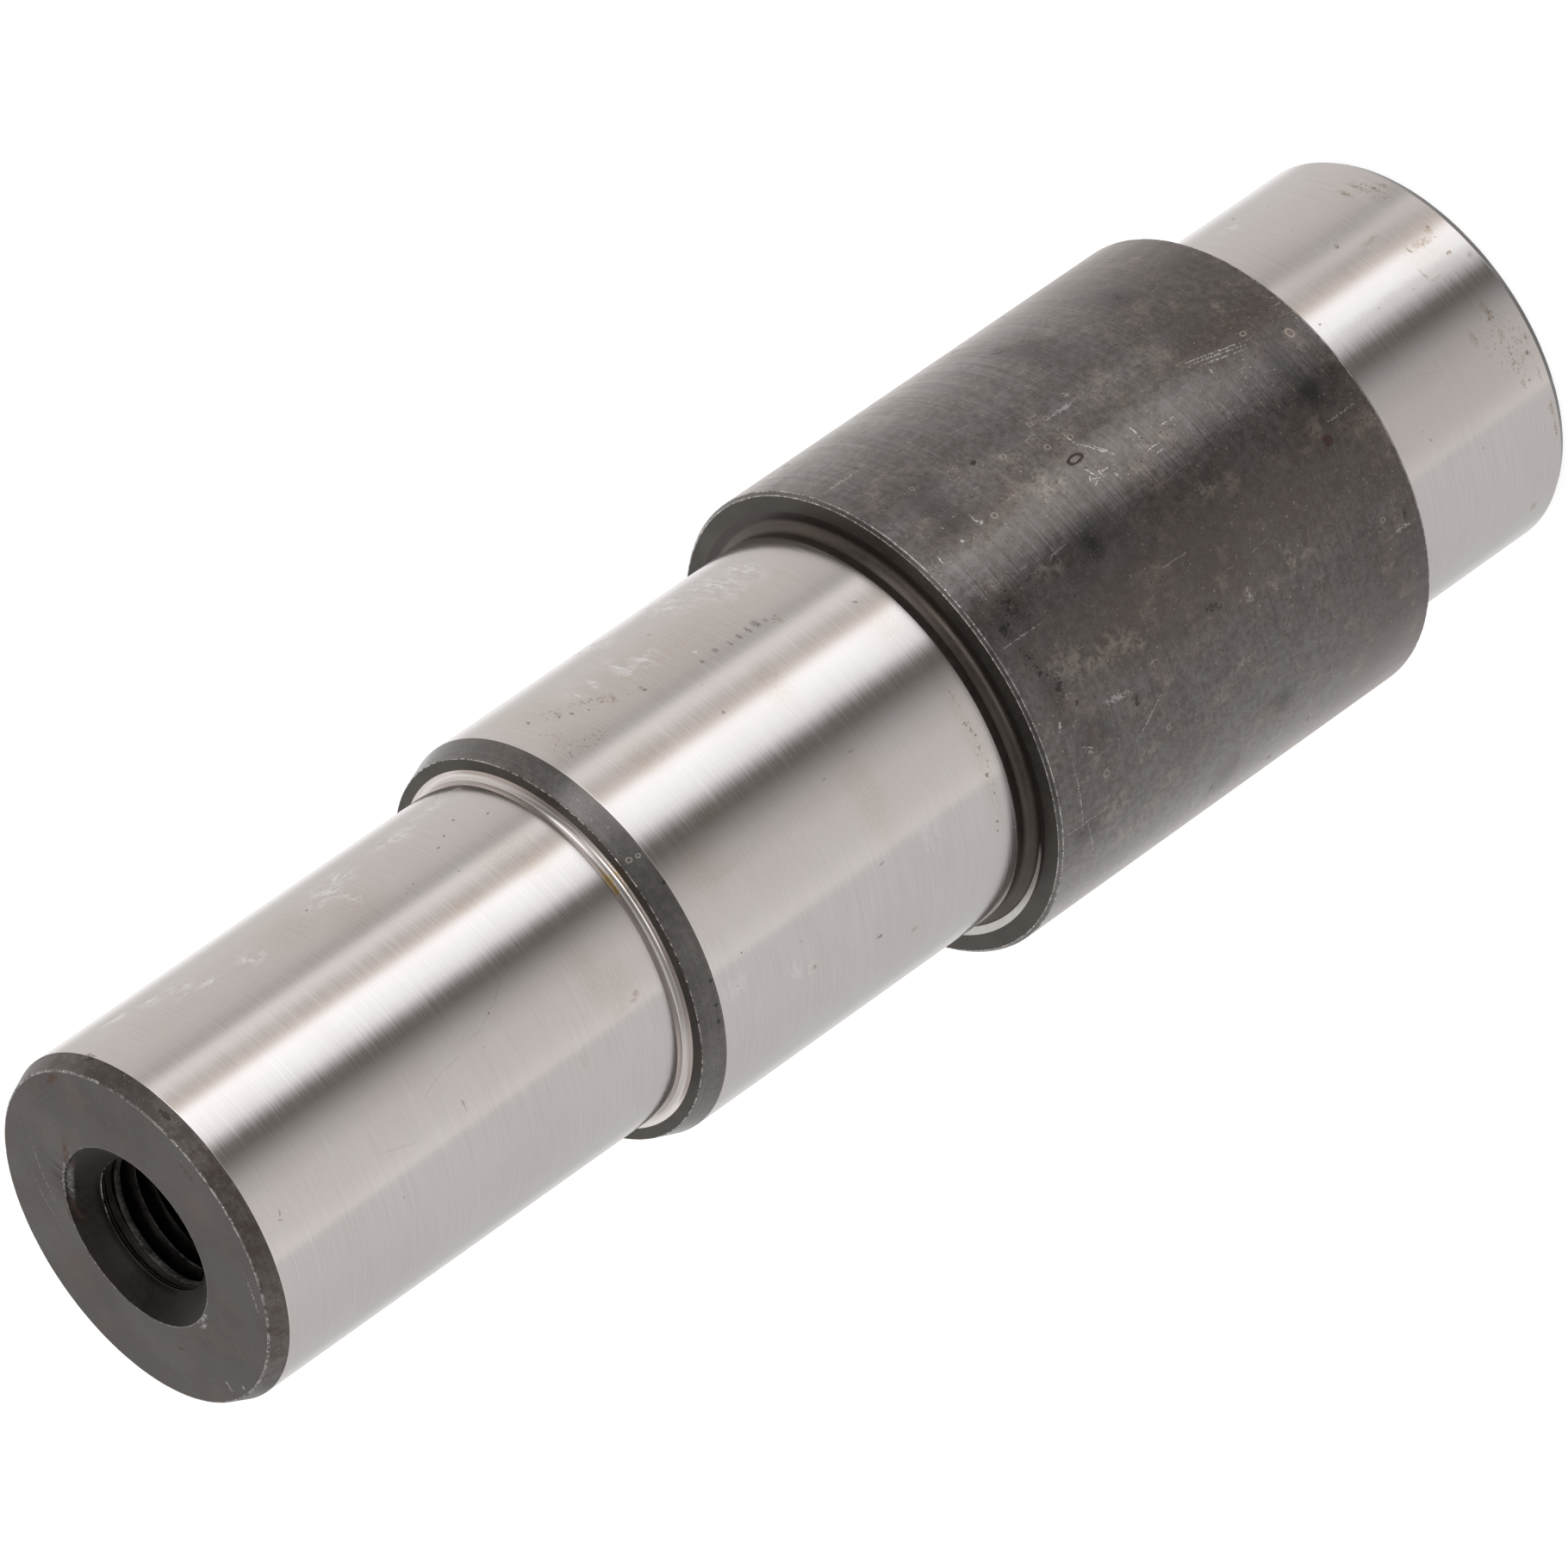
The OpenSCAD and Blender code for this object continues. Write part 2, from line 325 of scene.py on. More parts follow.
JOURNAL_SCUFFS = [
    (-67, 187, 1.5, 4.5), (-64, 196, 2.4, 4), (-63, 207, 2.6, 3.2), (-60, 211, 3.6, 2.2),
    (-57, 214, 1.2, 2.4), (-52, 210, 2.5, 1), (-54, 228, 2.2, 2.2), (-56, 235, 1.4, 2),
    (-62, 238, 3.4, 2.4, 30), (-67, 242, 2.6, 1.8), (-70, 247, 1.6, 2.4), (-55, 153.5, 4.6, 1.6),
    (-53, 150, 2.6, 2.4), (-56.5, 158.6, 3.2, 1), (-57, 162, 2.4, 0.8), (-63, 131, 6.5, 4.5),
    (-70, 137, 5.5, 3.6), (-43.5, 145, 0.8, 0.4), (-61, 126, 5, 2.6), (34, 132.6, 3.4, 1.4),
    (37, 172.5, 2, 2.2), (44, 160.5, 1.4, 3, 30), (47.5, 150, 0.5, 0.4), (-76, 149, 4, 3),
    (-66, 22, 2.4, 1.6),
]
# Painted shade on the rear seat: a darker stretch at 17 degrees and two darker bands that narrow its
# highlight.
REAR_SHADE = [(17, 22, 8, 24)]
REAR_SHADE_BANDS = [(-31.5, 17, 3.0, 24), (-11.5, 17, 2.2, 24)]
HUB_BRASS = [(-6.6, 180.35, 2.2, 1.0), (-3, 180.4, 1.6, 0.7)]
COLLAR_DARK = [
    (-57, 66.6, 1.4, 1.2), (-61.5, 70.5, 2.2, 1.2), (-60, 67, 0.5, 0.6), (-79, 70, 1.6, 0.8),
    (-82, 58.5, 1.6, 0.6, 25), (21.8, 77.4, 0.8, 2, 20), (29.2, 95, 1, 0.9), (54.5, 67, 1, 1.2),
    (53.5, 70, 0.4, 1.6), (70, 80.6, 0.9, 0.45), (65, 76.5, 1.3, 1), (52.5, 110, 1, 1),
    (7, 108.8, 2.4, 0.9), (12.6, 108.3, 2.8, 0.9), (16.5, 107, 1.6, 0.9), (-2, 106.4, 2.8, 1.6),
    (0, 109.6, 1.8, 1), (7, 46.3, 1.4, 0.4, 30), (30.4, 38.8, 1, 0.5, 20), (-53, 51.5, 1.1, 0.7, 20),
    (42.3, 87.6, 0.6, 0.3), (-17.5, 44.8, 0.4, 0.25), (-18, 46.8, 0.3, 0.25), (-80, 104.3, 1.1, 0.4, 20),
    (76.5, 66.5, 1.2, 0.5, -25), (69, 60.3, 0.8, 0.35), (55, 57.5, 0.8, 0.3), (-55, 104.5, 1.4, 0.25),
    (-29.5, 48, 0.2, 0.2), (38, 70, 0.3, 0.3), (-47, 70.3, 0.8, 0.3), (22, 105, 0.5, 0.6),
    (74, 87.3, 0.8, 0.3), (-36, 93.5, 0.5, 0.5), (4.8, 95, 0.2, 0.2),
]
COLLAR_SHADE = [
    (-13, 44.4, 5, 2.2), (-4, 43.6, 3.8, 2.8), (-7, 87.4, 2.8, 4), (-8, 86, 2.2, 4.2, 25),
    (-4, 90, 4.4, 2.6), (4, 86, 2.2, 4.6, -25), (22, 82, 2.2, 6), (-55, 68, 7, 5), (12, 72, 4, 13),
    (30, 104, 5, 4), (20, 108, 7, 2.5), (52, 108, 3, 4), (-30, 104, 6, 4), (68, 78, 5, 4), (56, 68, 3, 3.5),
    (-52, 52, 5, 3),
]
COLLAR_WARM = [(12, 76, 11, 36)]
# A painted highlight: a lighter, warmer band where the collar's highlight falls.
COLLAR_PAINTED_HIGHLIGHT = [(-17, 84, 4.6, 34)]
COLLAR_DULL = [(-22.8, 104, 2.8, 13), (-28, 45, 7, 13)]
COLLAR_TAN = [
    (-22.5, 88.6, 2.8, 2.4), (-20, 86, 1.8, 1.6), (-45, 75.6, 0.9, 1.2), (-51, 96.6, 1.2, 1.8),
    (12.5, 105.4, 2.2, 1.8), (11, 103.6, 1.4, 1.4), (17, 98, 1.6, 4.4), (17.5, 93, 1.8, 2.6),
    (24, 61, 2.4, 1.5), (24.6, 58, 0.7, 2), (43.5, 95, 0.9, 2.8, -20), (41, 104, 0.9, 0.9),
    (40, 107.6, 1, 0.7), (33.5, 101.5, 0.9, 0.7), (38, 75, 0.8, 3.6), (-5, 97, 1.6, 3.2), (14, 103, 3, 3.2),
    (16.5, 95.5, 2.6, 4.4), (20, 91.5, 1.6, 1.6), (0, 68, 2.4, 2), (-60, 90, 1, 0.8), (33, 57, 1.2, 0.5),
    (62, 100, 3, 5), (54, 39.6, 1, 0.5), (52, 103, 3.6, 4), (-33, 44.5, 1.6, 1),
]
COLLAR_BRIGHT = [
    (-21.4, 77.9, 2.8, 0.13, -32), (-20.2, 77, 2, 0.1, -28), (-26.5, 79.6, 2.4, 0.1, -4),
    (-17.5, 81.4, 0.9, 0.18, -15), (-16.4, 82.3, 0.7, 0.14, 30), (-15.6, 81, 0.16, 1.1, 18),
    (-14.9, 82, 0.14, 0.8, -25), (-16.8, 80.2, 0.9, 0.14, 12), (-16.4, 79.4, 0.13, 0.9),
    (-13.8, 78.4, 0.8, 0.12), (-14.4, 70.4, 0.12, 1), (-12.8, 70.2, 0.12, 0.9), (-19.6, 71, 1, 0.12),
    (-20.6, 110.3, 0.9, 0.15), (-21.4, 105.4, 0.4, 0.3), (-24, 101.2, 0.8, 0.16), (-22.6, 100.8, 0.5, 0.4),
    (-21, 54, 0.8, 0.12), (71.5, 84, 1.9, 0.1, -22), (24.2, 109.3, 0.7, 0.25, 25), (-17.3, 66, 0.12, 1.6),
]
COLLAR_PALE = [
    (-24.2, 51, 0.12, 4.2, 14), (-23.2, 50.6, 0.12, 3.6, 14), (-22.2, 51, 0.1, 3, 14),
    (-19.2, 71, 0.9, 0.14), (32.6, 105.5, 0.1, 1.3, 30), (33.6, 105.6, 0.1, 1.1, 30),
    (34.5, 93, 0.12, 3.4, -35), (49.7, 109, 0.12, 3.2), (42, 109.2, 4.6, 0.1), (3, 108, 0.12, 3.2),
    (3, 41, 0.12, 2.8), (26.5, 98, 0.4, 2, 10), (-46, 89.2, 0.1, 1.3, 10), (-34.2, 76, 0.3, 2.2),
    (24.6, 70, 0.9, 0.3), (-54, 108, 0.3, 2.6), (33, 40, 0.7, 0.12, 60), (-36.6, 73.6, 0.5, 0.3),
    (56, 107.4, 3.2, 0.1, -12), (33, 39.5, 0.2, 1.6),
]
COLLAR_RINGS = [
    (-22.1, 98.3, 0.5, 0.5), (-32.6, 89.4, 0.5, 0.5), (-27.2, 79.2, 0.5, 0.45), (-24, 45.2, 0.45, 0.5),
    (-18, 39.4, 0.8, 0.6), (-35.6, 81.8, 0.5, 0.4), (-28.3, 83.2, 0.5, 0.5), (-34.6, 79.2, 0.5, 0.4),
    (-37.5, 95.9, 0.4, 0.4), (28.5, 43, 0.45, 0.45), (41, 103.6, 0.6, 0.6), (40.5, 90.6, 0.5, 0.45),
    (-39.4, 103.5, 0.5, 0.4),
]
COLLAR_LOOPS = [(-22.2, 81.6, 0.75, 1.45)]
COLLAR_BLOTS = [
    (-4.8, 89.2, 2.3, 2.1), (-3.8, 89, 1.2, 1.3), (-4.6, 43.4, 2.7, 2.2), (-5.5, 43.8, 1.4, 1.2),
]
COLLAR_RED = [(6.3, 45.8, 0.9, 1)]
LEAD_NICKS = [
    (2.7, 175.9, 0.35, 0.35), (30.8, 176.1, 0.3, 0.3), (37.7, 176.3, 0.3, 0.4), (42.6, 176.4, 0.6, 0.3),
    (-58, 256.4, 1, 0.4), (-24, 257.4, 1.2, 0.4),
]
LEAD_RINGS = [(-6.8, 177.9, 0.4, 0.42), (-6.4, 176.6, 0.34, 0.36)]
# On the tapped end these are angle, radius, half size round and half size outwards.
END_RUST = [
    (-98, 15.9, 1, 1), (-8, 23.9, 1.3, 0.4), (115, 18.2, 0.7, 0.25), (-104, 14.9, 1.4, 0.5),
    (-146, 14.8, 1.4, 0.4), (-75, 25.4, 2, 0.7),
]
END_PALE = [
    (-145, 19.5, 0.12, 1.4), (-128, 19.2, 0.12, 1.8), (88, 25.6, 0.9, 0.14, 24), (96, 24.4, 1.6, 0.12, 30),
    (80, 14.8, 1.3, 0.4), (84, 15.6, 0.8, 0.3), (40, 24.6, 3, 0.12, 8), (-124, 14.7, 2.6, 0.22),
    (-114, 14.8, 1.2, 0.2),
]
END_WARM = [(4, 20, 3.4, 2.6)]
SINK_RUST = [(-103, 13.9, 1.6, 0.6), (-143, 13.9, 1.6, 0.6)]
SINK_LIP = [(-122, 13.95, 4.0, 0.5)]
# The radius of the lead chamfer's rings, and the crescent that a wheel has touched beside the collar: its
# outer edge is a circle, off the axis in one direction and cut off at a limit.
LEAD_RING_R = SEAT_R - 0.6
WHEEL_R, WHEEL_OFF, WHEEL_TURN, WHEEL_LIMIT = 33.42, 1.72, 115, 35.1

# Colours and shares that several materials have.
PIT_BLACK, GRIT_BLACK = (0.03, 0.025, 0.022), (0.06, 0.05, 0.045)
SHEEN_ROUGH, SHEEN_TINT = 0.45, (1.0, 0.9, 0.84, 1.0)
QUARTER_TURN, SPAN_FADE, PIT_SHIFT = 0.25, 8, (7.3, 2.1, 4.7)


class Net:
    """A node tree, with short calls for the nodes used here."""

    def __init__(self, tree):
        self.tree = tree
        tree.nodes.clear()

    def node(self, kind, inputs, out=0, **settings):
        """A new node; its inputs are values or other nodes' outputs. Gives one of its outputs."""
        node = self.tree.nodes.new("ShaderNode" + kind)
        for name, value in settings.items():
            setattr(node, name, value)
        for place, value in inputs.items():
            if isinstance(value, bpy.types.NodeSocket):
                self.tree.links.new(value, node.inputs[place])
            else:
                node.inputs[place].default_value = value
        return node.outputs[out] if node.outputs else None

    def split(self, vector):
        return self.node("SeparateXYZ", {0: vector}).node.outputs

    def join(self, x, y):
        return self.node("CombineXYZ", {0: x, 1: y})

    def math(self, operation, a, b=0.0, c=0.0):
        return self.node("Math", {0: a, 1: b, 2: c}, operation=operation)

    def scaled(self, value, factor, plus):
        return self.math("MULTIPLY_ADD", value, factor, plus)

    def all(self, first, *rest):
        """The values multiplied together."""
        for value in rest:
            first = self.math("MULTIPLY", first, value)
        return first

    def most(self, first, *rest):
        for value in rest:
            first = self.math("MAXIMUM", first, value)
        return first

    def vector(self, operation, *values):
        places = (0, "Scale") if operation == "SCALE" else (0, 1, 2)
        out = "Value" if operation == "LENGTH" else "Vector"
        return self.node("VectorMath", dict(zip(places, values)), out, operation=operation)

    def noise(self, vector, scale, detail, rough, out="Fac"):
        inputs = {"Vector": vector, "Scale": scale, "Detail": detail, "Roughness": rough}
        return self.node("TexNoise", inputs, out)

    def drawn_out(self, vector, factors, scale, detail, rough):
        """Noise drawn out along the axes whose factor is small."""
        return self.noise(self.vector("MULTIPLY", vector, factors), scale, detail, rough)

    def banded(self, value, per_mm, detail, rough):
        """Noise that changes along one value only."""
        return self.noise(self.join(self.all(value, per_mm), 0.0), 1.0, detail, rough)

    def dots(self, vector, scale, core, rim):
        """Scattered dots, 1 up to the core's radius and 0 past the rim's."""
        distance = self.node("TexVoronoi", {"Vector": vector, "Scale": scale}, "Distance")
        return self.step(distance, core, rim, 1, 0)

    def step(self, value, low, high, to_low=0.0, to_high=1.0):
        """Goes smoothly from to_low to to_high as the value goes from low to high."""
        inputs = dict(enumerate((value, low, high, to_low, to_high)))
        return self.node("MapRange", inputs, interpolation_type="SMOOTHSTEP")

    def window(self, value, low, full, falling, gone, most=1.0):
        """Rises from low to full and falls from falling to gone."""
        return self.all(self.step(value, low, full), self.step(value, falling, gone, most, 0))

    def mix(self, factor, *colors, blend="MIX"):
        a, b = (color if isinstance(color, bpy.types.NodeSocket) else (*color, 1) for color in colors)
        return self.node("Mix", {0: factor, 6: a, 7: b}, 2, data_type="RGBA", blend_type=blend)


class Surface(Net):
    """A material's net, with the place on the surface: mm along the axes, degrees and mm round the shaft.

    Marks lie round a cylinder of marked_r, or without it on the end face, each round its own radius.
    """

    def __init__(self, name, marked_r=None):
        self.marked_r = marked_r
        self.material = bpy.data.materials.new(name)
        self.material.use_nodes = True
        super().__init__(self.material.node_tree)
        self.mm = self.vector("SCALE", self.node("TexCoord", {}, "Object"), 1 / MM)
        x, self.y, self.z = self.split(self.mm)
        turn = self.math("ARCTAN2", self.all(x, -1), self.all(self.y, -1))
        self.angle = self.all(turn, 180 / math.pi)
        self.radius = self.math("SQRT", self.math("ADD", self.all(x, x), self.all(self.y, self.y)))
        self.arc = self.all(turn, self.radius)

    def ragged(self, field, size, scale):
        """The field pushed about by noise, so that the marks laid on it get ragged edges."""
        push = self.vector("SUBTRACT", self.noise(self.mm, scale, 4, 0.6, "Color"), (0.5, 0.5, 0.5))
        return self.vector("ADD", field, self.vector("SCALE", push, size))

    def patches(self, scale, detail, rough, low, high, to_low=0.0, to_high=1.0):
        return self.step(self.noise(self.mm, scale, detail, rough), low, high, to_low, to_high)

    def nearest(self, field, marks):
        """Distance to the nearest mark, 1 at its rim."""
        best = None
        for angle, up, wide, high, *turn in marks:
            place, across = field, math.radians(angle) * (self.marked_r or up)
            if turn:
                about = {"Vector": field, "Center": (across, up, 0), "Angle": -math.radians(turn[0])}
                place = self.node("VectorRotate", about, rotation_type="Z_AXIS")
            size, shift = (1 / wide, 1 / high, 0), (-across / wide, -up / high, 0)
            distance = self.vector("LENGTH", self.vector("MULTIPLY_ADD", place, size, shift))
            best = distance if best is None else self.math("MINIMUM", best, distance)
        return best

    def soft(self, field, marks, core, rim, most=1.0):
        """Marks that fade: most up to the core and 0 past the rim, where 1 is the mark's own size."""
        return self.step(self.nearest(field, marks), core, rim, most, 0)

    def rings(self, field, marks, low, full):
        return self.window(self.nearest(field, marks), low, full, 0.95, 1.25)

    def broken(self, field, marks, grain, spread, fade):
        """1 inside the marks and 0 outside, their rims eaten away by the grain."""
        within = self.math("SUBTRACT", 1.0, self.nearest(field, marks))
        return self.step(self.math("ADD", within, self.scaled(grain, spread, -spread / 2)), 0.0, fade)

    def finish(self, color, metallic, rough, height, height_mm, anisotropic=0.0, coat=0.0, coat_rough=0.4,
               coat_ior=1.5, sheen=0.0, sway=None):
        """The shader; on brushed steel, sway leans the normals round the shaft to break up reflections."""
        inputs = {"Base Color": color, "Metallic": metallic, "Roughness": rough}
        bump = {"Strength": 1, "Distance": height_mm * MM, "Height": height}
        if anisotropic:
            tangent = self.node("Tangent", {}, direction_type="RADIAL", axis="Z")
            inputs |= {"Anisotropic": anisotropic, "Anisotropic Rotation": QUARTER_TURN, "Tangent": tangent}
            if sway is not None:
                lean = self.vector("SCALE", tangent, sway)
                normal = self.node("NewGeometry", {}, "Normal")
                bump["Normal"] = self.vector("NORMALIZE", self.vector("ADD", normal, lean))
        inputs["Normal"] = self.node("Bump", bump)
        if coat != 0.0:
            inputs |= {"Coat Weight": coat, "Coat Roughness": coat_rough, "Coat IOR": coat_ior,
                       "Coat Normal": inputs["Normal"]}
        if sheen:
            inputs |= {"Sheen Weight": sheen, "Sheen Roughness": SHEEN_ROUGH, "Sheen Tint": SHEEN_TINT}
        self.node("OutputMaterial", {"Surface": self.node("BsdfPrincipled", inputs)})
        return self.material


class Look:
    """A material in the making: its net and the colour mixed so far."""

    def __init__(self, name, marked_r=None):
        self.net = Surface(name, marked_r)

    def blend(self, color, *factors):
        self.tint = self.net.mix(self.net.all(*factors), self.tint, color)


class GroundSteel(Look):
    """A bright journal between two heights: fine grinding lines, faint stains, pits and pale scuffs."""

    def __init__(self, name, low, high):
        self.low, self.high, self.on_hub = low, high, low > SEAT_FRONT
        super().__init__(name, HUB_R if self.on_hub else SEAT_R)
        net = self.net
        self.lines = net.drawn_out(net.mm, (0.024, 0.024, 1.0), 4.2, 2, 0.6)
        self.grain = net.patches(2.2, 3, 0.7, 0.36, 0.64)
        self.cloud = net.noise(net.mm, 0.06, 3, 0.6)
        self.straight = net.join(net.arc, net.z)
        self.field = net.ragged(self.straight, 1.2, 1.0)
        self.mottle = net.scaled(self.grain, 0.7, 0.3)
        self.tint = net.mix(net.step(self.cloud, 0.35, 0.68), (0.725, 0.665, 0.64), (0.745, 0.69, 0.665))
        self.blend((0.50, 0.46, 0.43), net.step(self.lines, 0.33, 0.55, 0.11, 0.0))
        self.blend((0.86, 0.83, 0.81), net.step(self.lines, 0.58, 0.72, 0.0, 0.2))

    def here(self, marks):
        """Those of the marks that lie on this journal."""
        return [mark for mark in marks if self.low < mark[1] < self.high]

    def stain(self):
        """Tan and brown stains with dark specks, drawn lines and grime."""
        net = self.net
        tan = net.soft(self.field, self.here(JOURNAL_TAN), 0.1, 1.3, 0.4)
        self.blend((0.60, 0.51, 0.42), tan, self.mottle)
        self.brown = net.all(net.soft(self.field, self.here(JOURNAL_BROWN), 0.0, 1.3, 0.8), self.mottle)
        self.blend((0.38, 0.27, 0.17), self.brown, 0.8)
        dusted = net.soft(self.field, self.here(JOURNAL_SPECKS), 0.2, 1.2, 0.8)
        specks = net.patches(1.9, 2, 0.7, 0.57, 0.64)
        specked = net.most(net.step(self.brown, 0.05, 0.3), dusted)
        self.blend((0.22, 0.14, 0.085), specked, specks, 0.7)
        drawn = net.soft(net.ragged(self.straight, 0.4, 0.5), self.here(JOURNAL_LINES), 0.6, 1.3, 0.2)
        self.blend((0.44, 0.36, 0.27), drawn)
        grime = net.soft(net.ragged(self.straight, 0.5, 1.6), self.here(JOURNAL_GRIME), 0.6, 1.3)
        self.blend((0.13, 0.12, 0.112), grime, self.mottle, 0.6)

    def wear(self):
        """Pale scuffs, broken into streaks, and dark pits."""
        net = self.net
        streak = (1.0, 1.0, 0.65) if self.on_hub else (0.4, 0.4, 1.25)
        speckle = net.step(net.drawn_out(net.mm, streak, 0.85, 3, 0.55), 0.45, 0.58)
        scuff = net.soft(self.field, self.here(JOURNAL_SCUFFS), 0.1, 1.4)
        patchy = net.patches(0.6, 3, 0.7, 0.36, 0.54, 0.4, 1.0)
        self.scuff = net.all(scuff, patchy, speckle)
        self.blend((1.0, 0.955, 0.94), self.scuff)
        pits = net.broken(self.field, self.here(JOURNAL_PITS), self.grain, 0.8, 0.6)
        dots = net.all(net.dots(net.mm, 0.23, 0.02, 0.05), net.step(self.cloud, 0.45, 0.55))
        self.pits = net.most(net.all(pits, 0.62), net.all(dots, 0.45))
        self.blend((0.12, 0.09, 0.075), self.pits)

    def shade_and_smear(self):
        """Painted shade on the rear seat, narrowing its highlight; the brassy stain at the hub seat's foot.
        """
        net = self.net
        if self.low < COLLAR_REAR:
            # Painted shade: the rear seat darker at 17 degrees and in two bands that narrow its highlight.
            self.blend((0.42, 0.37, 0.355), net.soft(self.field, self.here(REAR_SHADE), 0.4, 1.25, 0.26))
            self.blend((0.42, 0.38, 0.36), net.soft(self.field, self.here(REAR_SHADE_BANDS), 0.4, 1.25, 0.42))
        if self.on_hub:
            brass = net.broken(self.field, self.here(HUB_BRASS), self.grain, 0.5, 0.8)
            self.blend((0.66, 0.47, 0.16), brass, 0.9)

    def finish(self):
        net = self.net
        rough = net.step(self.lines, 0.3, 0.7, 0.13, 0.18)
        dulled = net.most(net.all(self.scuff, 0.6), net.all(self.pits, 0.3), net.all(self.brown, 0.12))
        rough = net.math("ADD", rough, dulled)
        sway = net.scaled(self.lines, 0.016, -0.008)
        metal = net.scaled(self.scuff, -0.75, 1.0)
        return net.finish(self.tint, metal, rough, self.lines, 0.0015, anisotropic=0.8, sway=sway)


def ground_steel(name, low, high):
    look = GroundSteel(name, low, high)
    look.stain()
    look.wear()
    look.shade_and_smear()
    return look.finish()


class DarkSteel(Look):
    """Unground steel with a dark turned skin; the parts of its look that the dark materials share."""

    def __init__(self, name, base, light, line_mm=0.34, mottle=0.45, marked_r=None):
        super().__init__(name, marked_r)
        net = self.net
        self.turns = net.drawn_out(net.mm, (0.03, 0.03, 1 / line_mm), 1.0, 1, 0.5)
        self.fine = net.noise(net.mm, 0.8, 5, 0.72)
        self.grit = net.noise(net.mm, 2.6, 3, 0.7)
        self.grain = net.step(self.fine, 0.36, 0.64)
        cloud = net.noise(net.mm, 0.1, 4, 0.6)
        self.tint = net.mix(net.step(cloud, 0.36, 0.66), base, light)
        self.blend(tuple(v * 0.55 for v in base), net.step(self.fine, 0.38, 0.6, mottle, 0.0))
        self.blend((0.02, 0.018, 0.016), net.step(self.turns, 0.35, 0.65, 0.16, 0.0))

    def finish(self, rough, height_mm=0.003, anisotropic=0.5, metallic=1.0, **more):
        net = self.net
        roughness = net.step(self.fine, 0.3, 0.7, rough - 0.05, rough + 0.08)
        height = net.scaled(self.fine, 0.6, self.turns)
        return net.finish(self.tint, metallic, roughness, height, height_mm, anisotropic, **more)


class TurnedSteel(DarkSteel):
    """The collar's dark skin with its rust freckles, stains, rings and pale scratches."""

    def __init__(self):
        base, light = (0.092, 0.073, 0.0655), (0.127, 0.106, 0.096)
        super().__init__("turned_steel", base, light, 0.26, marked_r=COLLAR_R)
        net = self.net
        self.straight = net.join(net.arc, net.z)
        self.field = net.ragged(self.straight, 2.4, 0.8)
        self.crisp = net.ragged(self.straight, 0.5, 1.6)
        self.patches = net.noise(net.mm, 0.17, 4, 0.62)
        self.speckle = net.drawn_out(net.mm, (1.0, 1.0, 0.6), 1.3, 4, 0.75)

    def stain(self):
        """Wide dark and warm stretches, a lighter warm band as painted highlight, and the two black blots."""
        net = self.net
        self.shade = net.soft(self.field, COLLAR_SHADE, 0.1, 1.35)
        self.blend((0.062, 0.056, 0.053), self.shade, net.scaled(self.grain, 0.25, 0.45))
        # Painted highlight: lighter and warmer along the collar's highlight.
        self.blend((0.15, 0.116, 0.09), net.soft(self.field, COLLAR_PAINTED_HIGHLIGHT, 0.5, 1.3, 0.5))
        self.warm = net.soft(self.field, COLLAR_WARM, 0.3, 1.4, 0.6)
        self.blend((0.095, 0.07, 0.06), self.warm)
        self.blots = net.soft(net.ragged(self.straight, 1.0, 0.5), COLLAR_BLOTS, 0.1, 1.25, 0.85)
        self.blend((0.03, 0.027, 0.026), self.blots)

    def rust(self):
        """Tan spots, scattered rust, pale freckles and grit."""
        net = self.net
        spotted = net.step(self.speckle, 0.36, 0.58, 0.3, 1.0)
        tan = net.broken(self.field, COLLAR_TAN, self.grain, 1.0, 1.1)
        self.blend((0.3, 0.245, 0.195), tan, spotted, 0.54)
        tan = net.all(net.step(self.patches, 0.54, 0.7), spotted)
        self.blend((0.36, 0.285, 0.235), tan, 0.36)
        rust = net.patches(1.7, 4, 0.75, 0.54, 0.62)
        self.rusty = net.all(net.step(self.patches, 0.44, 0.6), rust)
        self.blend((0.12, 0.064, 0.045), self.rusty, 0.62)
        freckled = net.patches(0.28, 3, 0.6, 0.47, 0.56)
        self.blend((0.44, 0.37, 0.32), net.dots(net.mm, 0.66, 0.08, 0.15), freckled, 0.42)
        self.blend((0.44, 0.40, 0.37), net.step(self.grit, 0.61, 0.7), 0.4)
        self.blend((0.05, 0.04, 0.035), net.step(self.grit, 0.31, 0.39, 1, 0), 0.6)

    def spot(self):
        """Dark spots and pits, pale rings, the dark loop and the red spot."""
        net = self.net
        pits = net.dots(net.vector("ADD", net.mm, PIT_SHIFT), 0.5, 0.05, 0.11)
        speckled = net.step(self.speckle, 0.4, 0.56, 0.3, 1.0)
        dark = net.all(net.broken(self.crisp, COLLAR_DARK, self.grain, 1.5, 0.6), speckled)
        self.dark = net.most(dark, net.all(pits, net.step(self.patches, 0.42, 0.5), 0.8))
        self.blend(PIT_BLACK, self.dark, 0.8)
        self.blend((0.34, 0.27, 0.225), net.rings(self.crisp, COLLAR_RINGS, 0.55, 0.8), 0.7)
        self.loops = net.rings(self.crisp, COLLAR_LOOPS, 0.5, 0.75)
        self.blend((0.035, 0.022, 0.02), self.loops, 0.85)
        self.blend((0.05, 0.016, 0.013), net.soft(self.crisp, COLLAR_RED, 0.85, 1.05, 0.9))

    def scratch(self):
        """Pale scratches, and hairlines along the shaft."""
        net = self.net
        bitten = net.step(self.grit, 0.36, 0.6)
        pale = net.all(net.broken(self.crisp, COLLAR_PALE, bitten, 1.8, 0.9), 0.42)
        pale = net.most(pale, net.all(net.broken(self.crisp, COLLAR_BRIGHT, bitten, 1.2, 0.9), 0.62))
        self.blend((0.66, 0.62, 0.59), pale)
        hair = net.drawn_out(net.ragged(net.mm, 2.0, 0.2), (1.6, 1.6, 0.07), 1.0, 2, 0.5)
        self.blend((0.42, 0.38, 0.35), net.step(hair, 0.70, 0.75, 0.0, 0.4))

